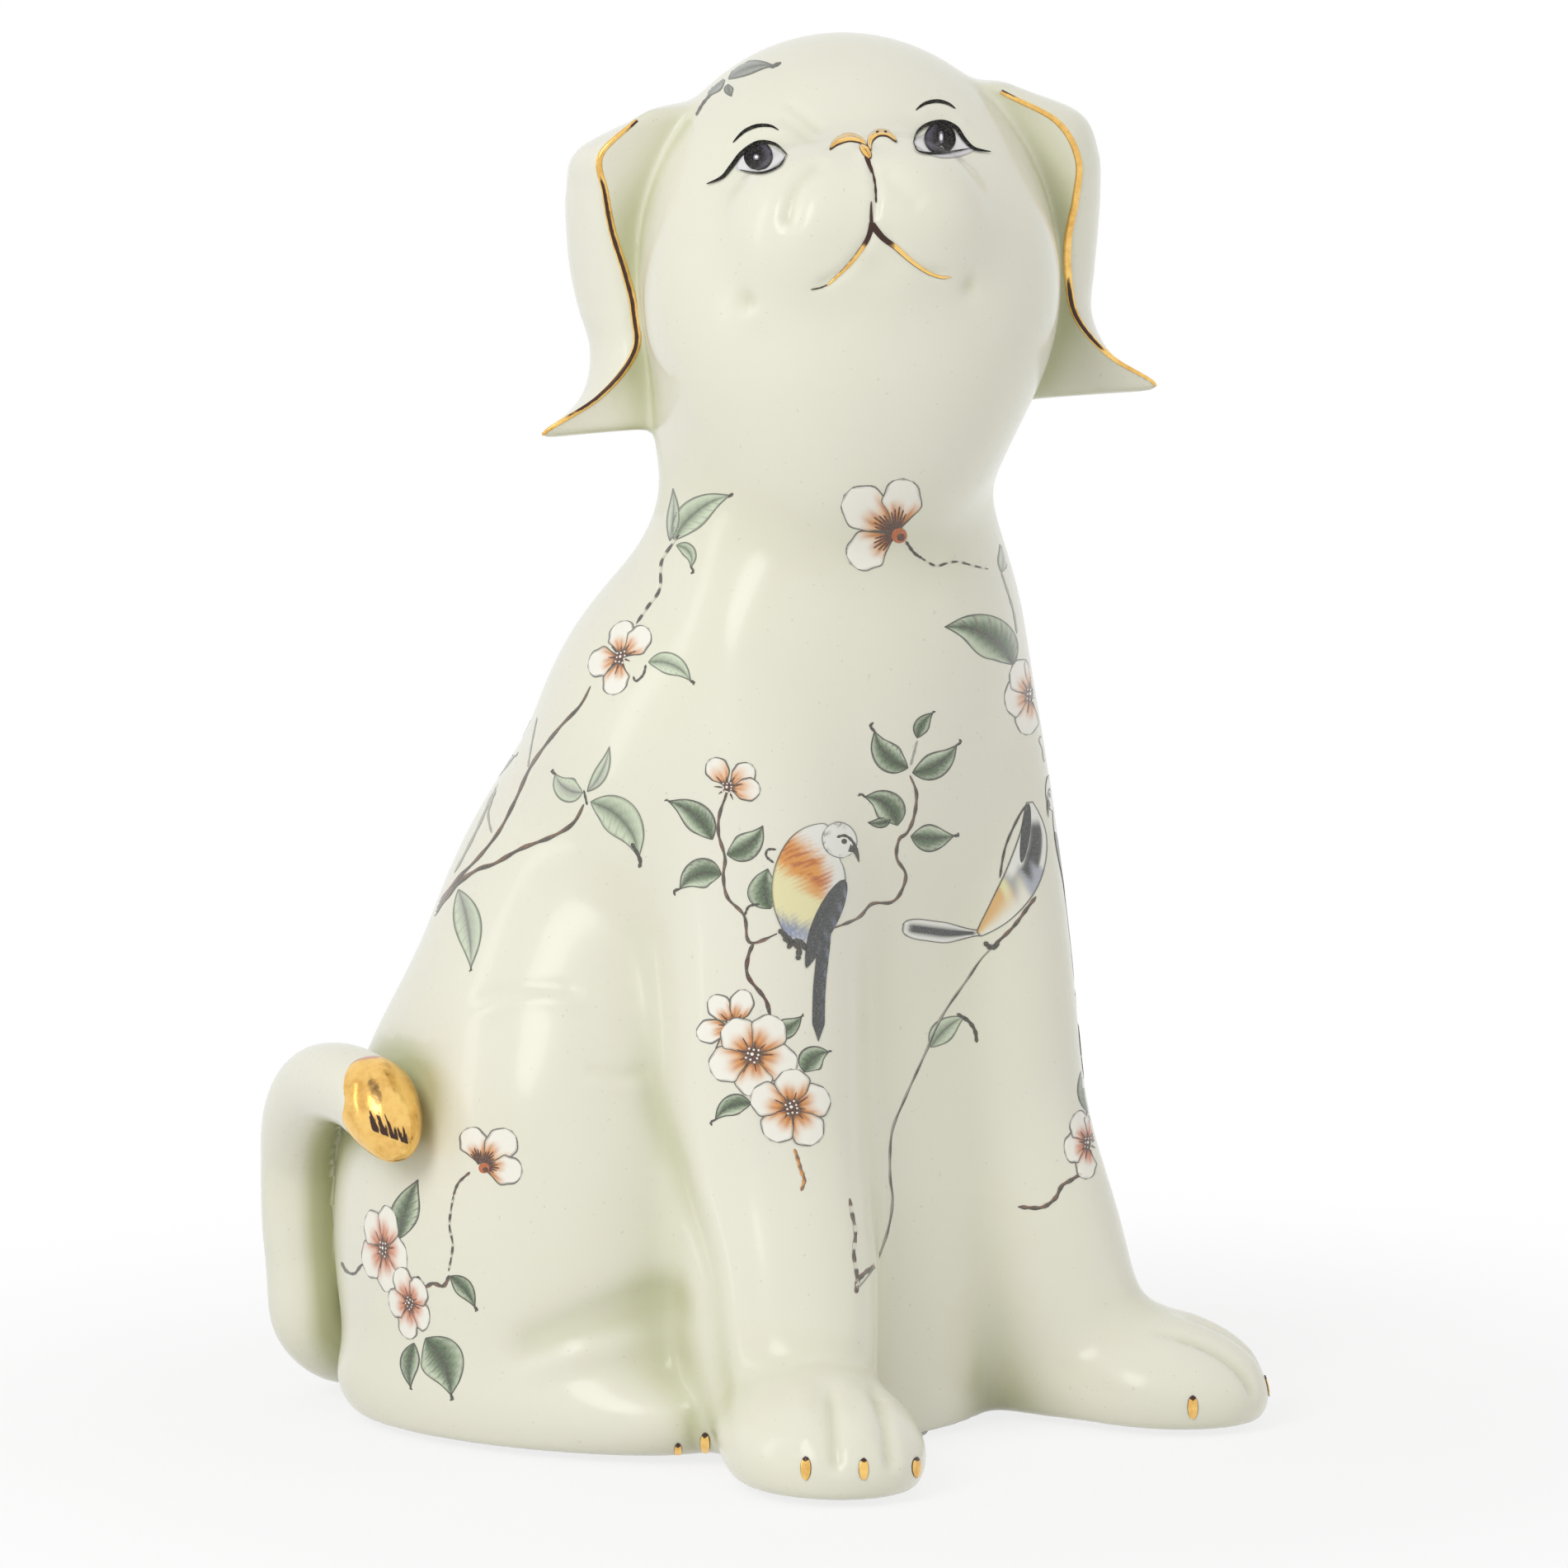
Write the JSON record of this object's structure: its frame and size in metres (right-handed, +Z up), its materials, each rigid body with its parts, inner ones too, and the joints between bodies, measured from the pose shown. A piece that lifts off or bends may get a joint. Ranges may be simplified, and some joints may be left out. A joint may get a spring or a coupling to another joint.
{
  "type": "ceramic dog statue",
  "caption": "Sitting long-eared dog figurine in pale glazed ceramic with gilt details, a traditional flower-and-bird decoration and self-adhesive pads under its base.",
  "frame": {"origin": "on the surface that the figure stands on, at the middle of the under face of the centre pad", "axes": "the dog's body faces -Y, its left side is +X, and +Z points up; the head is turned towards the dog's right"},
  "size_m": [0.1756, 0.187, 0.2935],
  "materials": {
    "glaze": "glossy pale celadon glaze over white ceramic, with a printed flower-and-bird decoration in the visual layer",
    "gilt": "bright gold lustre fired on the glaze",
    "pad": "soft white self-adhesive pad"
  },
  "bodies": {
    "root": {"body_shell": "glaze", "base_plate": "glaze", "head_shell": "glaze", "ear_right": "glaze", "ear_left": "glaze", "tail": "glaze", "tail_tip": "gilt", "nose": "gilt", "pad_paw_right": "pad", "pad_paw_left": "pad", "pad_hind_left": "pad", "pad_centre": "pad", "pad_rear": "pad"}
  },
  "joints": []
}
